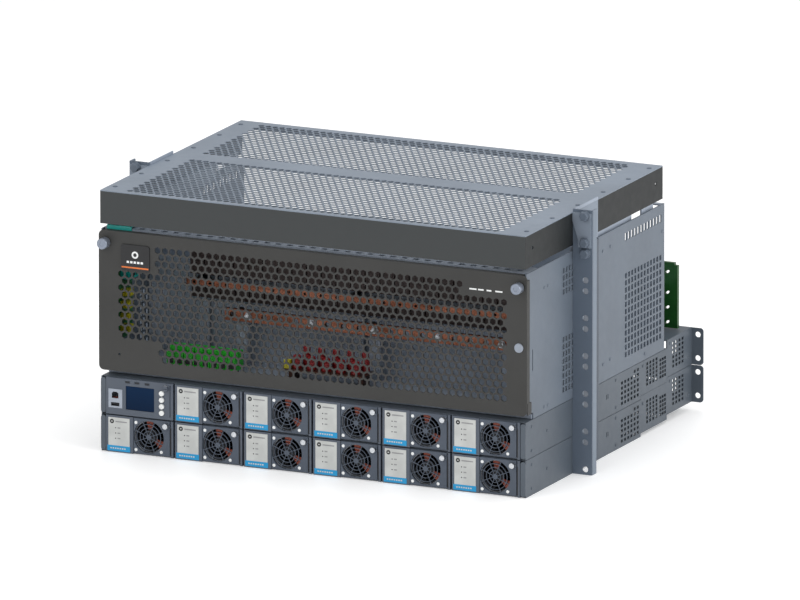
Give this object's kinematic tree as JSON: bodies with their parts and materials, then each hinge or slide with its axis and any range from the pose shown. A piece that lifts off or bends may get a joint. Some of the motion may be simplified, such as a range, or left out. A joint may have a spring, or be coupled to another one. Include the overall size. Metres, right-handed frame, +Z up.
{
  "type": "rackmount direct-current power system",
  "caption": "Rack-mounted DC power shelf stack with plug-in rectifiers, a controller, a distribution cabinet behind a perforated drop-down door, and a perforated top cover",
  "frame": {"origin": "centre of the bounding box in plan, on the bottom plane of the lower shelf", "axes": "+X to the right seen from the front, +Y from the front to the back, +Z up"},
  "size_m": [0.5842, 0.475, 0.3112],
  "materials": {
    "module_paint": "grey-blue powder coat on steel sheet",
    "panel_paint": "light grey-blue satin powder coat on steel sheet",
    "ear_paint": "darker grey-blue satin powder coat on steel plate",
    "dark_paint": "charcoal powder coat on steel sheet",
    "black_plastic": "moulded glass-filled plastic",
    "white_plastic": "moulded push-button caps",
    "display_glass": "dark blue display window over its panel",
    "bright_metal": "zinc-plated turned steel",
    "copper": null,
    "green_board": "glass-fibre board with green solder mask",
    "green_plastic": "moulded pluggable terminal housings",
    "red_plastic": "moulded insulating sleeves"
  },
  "bodies": {
    "chassis": {"shelf_lower": "panel_paint", "shelf_upper": "panel_paint", "shelf_backplanes": "green_board", "cabinet_side_right": "panel_paint", "cabinet_side_left": "panel_paint", "cabinet_frame": "panel_paint", "busbars": "copper", "terminal_block": "green_plastic", "battery_lugs": "red_plastic", "interface_board": "green_board", "rear_terminal_board": "green_board", "cover_frame": "dark_paint", "cover_grille": "panel_paint", "cover_brackets": "panel_paint", "rack_ear_right": "ear_paint", "rack_ear_left": "ear_paint", "ear_bolts": "bright_metal"},
    "door": {"front_door": "dark_paint", "door_badge": "black_plastic"},
    "thumbscrew_left": {"door_thumbscrew_left": "bright_metal"},
    "thumbscrew_right": {"door_thumbscrew_right": "bright_metal"},
    "controller": {"controller_module": "module_paint", "controller_display": "display_glass"},
    "button_1": {"controller_button_1": "white_plastic"},
    "button_2": {"controller_button_2": "white_plastic"},
    "button_3": {"controller_button_3": "white_plastic"},
    "button_4": {"controller_button_4": "white_plastic"},
    "rectifier_01": {"rectifier_01_module": "module_paint"},
    "fan_rotor_01": {"rectifier_01_fan_rotor": "black_plastic"},
    "handle_01": {"rectifier_01_handle": "module_paint"},
    "rectifier_02": {"rectifier_02_module": "module_paint"},
    "fan_rotor_02": {"rectifier_02_fan_rotor": "black_plastic"},
    "handle_02": {"rectifier_02_handle": "module_paint"},
    "rectifier_03": {"rectifier_03_module": "module_paint"},
    "fan_rotor_03": {"rectifier_03_fan_rotor": "black_plastic"},
    "handle_03": {"rectifier_03_handle": "module_paint"},
    "rectifier_04": {"rectifier_04_module": "module_paint"},
    "fan_rotor_04": {"rectifier_04_fan_rotor": "black_plastic"},
    "handle_04": {"rectifier_04_handle": "module_paint"},
    "rectifier_05": {"rectifier_05_module": "module_paint"},
    "fan_rotor_05": {"rectifier_05_fan_rotor": "black_plastic"},
    "handle_05": {"rectifier_05_handle": "module_paint"},
    "rectifier_06": {"rectifier_06_module": "module_paint"},
    "fan_rotor_06": {"rectifier_06_fan_rotor": "black_plastic"},
    "handle_06": {"rectifier_06_handle": "module_paint"},
    "rectifier_07": {"rectifier_07_module": "module_paint"},
    "fan_rotor_07": {"rectifier_07_fan_rotor": "black_plastic"},
    "handle_07": {"rectifier_07_handle": "module_paint"},
    "rectifier_08": {"rectifier_08_module": "module_paint"},
    "fan_rotor_08": {"rectifier_08_fan_rotor": "black_plastic"},
    "handle_08": {"rectifier_08_handle": "module_paint"},
    "rectifier_09": {"rectifier_09_module": "module_paint"},
    "fan_rotor_09": {"rectifier_09_fan_rotor": "black_plastic"},
    "handle_09": {"rectifier_09_handle": "module_paint"},
    "rectifier_10": {"rectifier_10_module": "module_paint"},
    "fan_rotor_10": {"rectifier_10_fan_rotor": "black_plastic"},
    "handle_10": {"rectifier_10_handle": "module_paint"},
    "rectifier_11": {"rectifier_11_module": "module_paint"},
    "fan_rotor_11": {"rectifier_11_fan_rotor": "black_plastic"},
    "handle_11": {"rectifier_11_handle": "module_paint"}
  },
  "joints": [
    {"name": "door_hinge", "type": "hinge", "parent": "chassis", "child": "door", "pos_m": [0, -0.2175, 0.102], "axis": [1, 0, 0], "range_deg": [0, 80]},
    {"name": "thumbscrew_left_turn", "type": "hinge", "parent": "door", "child": "thumbscrew_left", "pos_m": [-0.2603, -0.2255, 0.247], "axis": [0, -1, 0], "range_deg": [-90, 0]},
    {"name": "thumbscrew_right_turn", "type": "hinge", "parent": "door", "child": "thumbscrew_right", "pos_m": [0.2603, -0.2255, 0.247], "axis": [0, -1, 0], "range_deg": [-90, 0]},
    {"name": "controller_slide", "type": "slide", "parent": "chassis", "child": "controller", "axis": [0, -1, 0], "range_m": [0, 0.24]},
    {"name": "button_1_press", "type": "slide", "parent": "controller", "child": "button_1", "axis": [0, 1, 0], "range_m": [0, 0.0012], "stiffness_N_per_m": 400},
    {"name": "button_2_press", "type": "slide", "parent": "controller", "child": "button_2", "axis": [0, 1, 0], "range_m": [0, 0.0012], "stiffness_N_per_m": 400},
    {"name": "button_3_press", "type": "slide", "parent": "controller", "child": "button_3", "axis": [0, 1, 0], "range_m": [0, 0.0012], "stiffness_N_per_m": 400},
    {"name": "button_4_press", "type": "slide", "parent": "controller", "child": "button_4", "axis": [0, 1, 0], "range_m": [0, 0.0012], "stiffness_N_per_m": 400},
    {"name": "rectifier_01_slide", "type": "slide", "parent": "chassis", "child": "rectifier_01", "axis": [0, -1, 0], "range_m": [0, 0.3]},
    {"name": "handle_01_fold", "type": "hinge", "parent": "rectifier_01", "child": "handle_01", "pos_m": [-0.20375, -0.2243, 0.0024], "axis": [1, 0, 0], "range_deg": [0, 70]},
    {"name": "fan_01_spin", "type": "hinge", "parent": "rectifier_01", "child": "fan_rotor_01", "pos_m": [-0.20695, -0.2105, 0.0219], "axis": [0, 1, 0], "continuous": true},
    {"name": "rectifier_02_slide", "type": "slide", "parent": "chassis", "child": "rectifier_02", "axis": [0, -1, 0], "range_m": [0, 0.3]},
    {"name": "handle_02_fold", "type": "hinge", "parent": "rectifier_02", "child": "handle_02", "pos_m": [-0.11645, -0.2243, 0.0024], "axis": [1, 0, 0], "range_deg": [0, 70]},
    {"name": "fan_02_spin", "type": "hinge", "parent": "rectifier_02", "child": "fan_rotor_02", "pos_m": [-0.11965, -0.2105, 0.0219], "axis": [0, 1, 0], "continuous": true},
    {"name": "rectifier_03_slide", "type": "slide", "parent": "chassis", "child": "rectifier_03", "axis": [0, -1, 0], "range_m": [0, 0.3]},
    {"name": "handle_03_fold", "type": "hinge", "parent": "rectifier_03", "child": "handle_03", "pos_m": [-0.02915, -0.2243, 0.0024], "axis": [1, 0, 0], "range_deg": [0, 70]},
    {"name": "fan_03_spin", "type": "hinge", "parent": "rectifier_03", "child": "fan_rotor_03", "pos_m": [-0.03235, -0.2105, 0.0219], "axis": [0, 1, 0], "continuous": true},
    {"name": "rectifier_04_slide", "type": "slide", "parent": "chassis", "child": "rectifier_04", "axis": [0, -1, 0], "range_m": [0, 0.3]},
    {"name": "handle_04_fold", "type": "hinge", "parent": "rectifier_04", "child": "handle_04", "pos_m": [0.05815, -0.2243, 0.0024], "axis": [1, 0, 0], "range_deg": [0, 70]},
    {"name": "fan_04_spin", "type": "hinge", "parent": "rectifier_04", "child": "fan_rotor_04", "pos_m": [0.05495, -0.2105, 0.0219], "axis": [0, 1, 0], "continuous": true},
    {"name": "rectifier_05_slide", "type": "slide", "parent": "chassis", "child": "rectifier_05", "axis": [0, -1, 0], "range_m": [0, 0.3]},
    {"name": "handle_05_fold", "type": "hinge", "parent": "rectifier_05", "child": "handle_05", "pos_m": [0.14545, -0.2243, 0.0024], "axis": [1, 0, 0], "range_deg": [0, 70]},
    {"name": "fan_05_spin", "type": "hinge", "parent": "rectifier_05", "child": "fan_rotor_05", "pos_m": [0.14225, -0.2105, 0.0219], "axis": [0, 1, 0], "continuous": true},
    {"name": "rectifier_06_slide", "type": "slide", "parent": "chassis", "child": "rectifier_06", "axis": [0, -1, 0], "range_m": [0, 0.3]},
    {"name": "handle_06_fold", "type": "hinge", "parent": "rectifier_06", "child": "handle_06", "pos_m": [0.23275, -0.2243, 0.0024], "axis": [1, 0, 0], "range_deg": [0, 70]},
    {"name": "fan_06_spin", "type": "hinge", "parent": "rectifier_06", "child": "fan_rotor_06", "pos_m": [0.22955, -0.2105, 0.0219], "axis": [0, 1, 0], "continuous": true},
    {"name": "rectifier_07_slide", "type": "slide", "parent": "chassis", "child": "rectifier_07", "axis": [0, -1, 0], "range_m": [0, 0.3]},
    {"name": "handle_07_fold", "type": "hinge", "parent": "rectifier_07", "child": "handle_07", "pos_m": [-0.11645, -0.2243, 0.04685], "axis": [1, 0, 0], "range_deg": [0, 70]},
    {"name": "fan_07_spin", "type": "hinge", "parent": "rectifier_07", "child": "fan_rotor_07", "pos_m": [-0.11965, -0.2105, 0.06635], "axis": [0, 1, 0], "continuous": true},
    {"name": "rectifier_08_slide", "type": "slide", "parent": "chassis", "child": "rectifier_08", "axis": [0, -1, 0], "range_m": [0, 0.3]},
    {"name": "handle_08_fold", "type": "hinge", "parent": "rectifier_08", "child": "handle_08", "pos_m": [-0.02915, -0.2243, 0.04685], "axis": [1, 0, 0], "range_deg": [0, 70]},
    {"name": "fan_08_spin", "type": "hinge", "parent": "rectifier_08", "child": "fan_rotor_08", "pos_m": [-0.03235, -0.2105, 0.06635], "axis": [0, 1, 0], "continuous": true},
    {"name": "rectifier_09_slide", "type": "slide", "parent": "chassis", "child": "rectifier_09", "axis": [0, -1, 0], "range_m": [0, 0.3]},
    {"name": "handle_09_fold", "type": "hinge", "parent": "rectifier_09", "child": "handle_09", "pos_m": [0.05815, -0.2243, 0.04685], "axis": [1, 0, 0], "range_deg": [0, 70]},
    {"name": "fan_09_spin", "type": "hinge", "parent": "rectifier_09", "child": "fan_rotor_09", "pos_m": [0.05495, -0.2105, 0.06635], "axis": [0, 1, 0], "continuous": true},
    {"name": "rectifier_10_slide", "type": "slide", "parent": "chassis", "child": "rectifier_10", "axis": [0, -1, 0], "range_m": [0, 0.3]},
    {"name": "handle_10_fold", "type": "hinge", "parent": "rectifier_10", "child": "handle_10", "pos_m": [0.14545, -0.2243, 0.04685], "axis": [1, 0, 0], "range_deg": [0, 70]},
    {"name": "fan_10_spin", "type": "hinge", "parent": "rectifier_10", "child": "fan_rotor_10", "pos_m": [0.14225, -0.2105, 0.06635], "axis": [0, 1, 0], "continuous": true},
    {"name": "rectifier_11_slide", "type": "slide", "parent": "chassis", "child": "rectifier_11", "axis": [0, -1, 0], "range_m": [0, 0.3]},
    {"name": "handle_11_fold", "type": "hinge", "parent": "rectifier_11", "child": "handle_11", "pos_m": [0.23275, -0.2243, 0.04685], "axis": [1, 0, 0], "range_deg": [0, 70]},
    {"name": "fan_11_spin", "type": "hinge", "parent": "rectifier_11", "child": "fan_rotor_11", "pos_m": [0.22955, -0.2105, 0.06635], "axis": [0, 1, 0], "continuous": true}
  ]
}
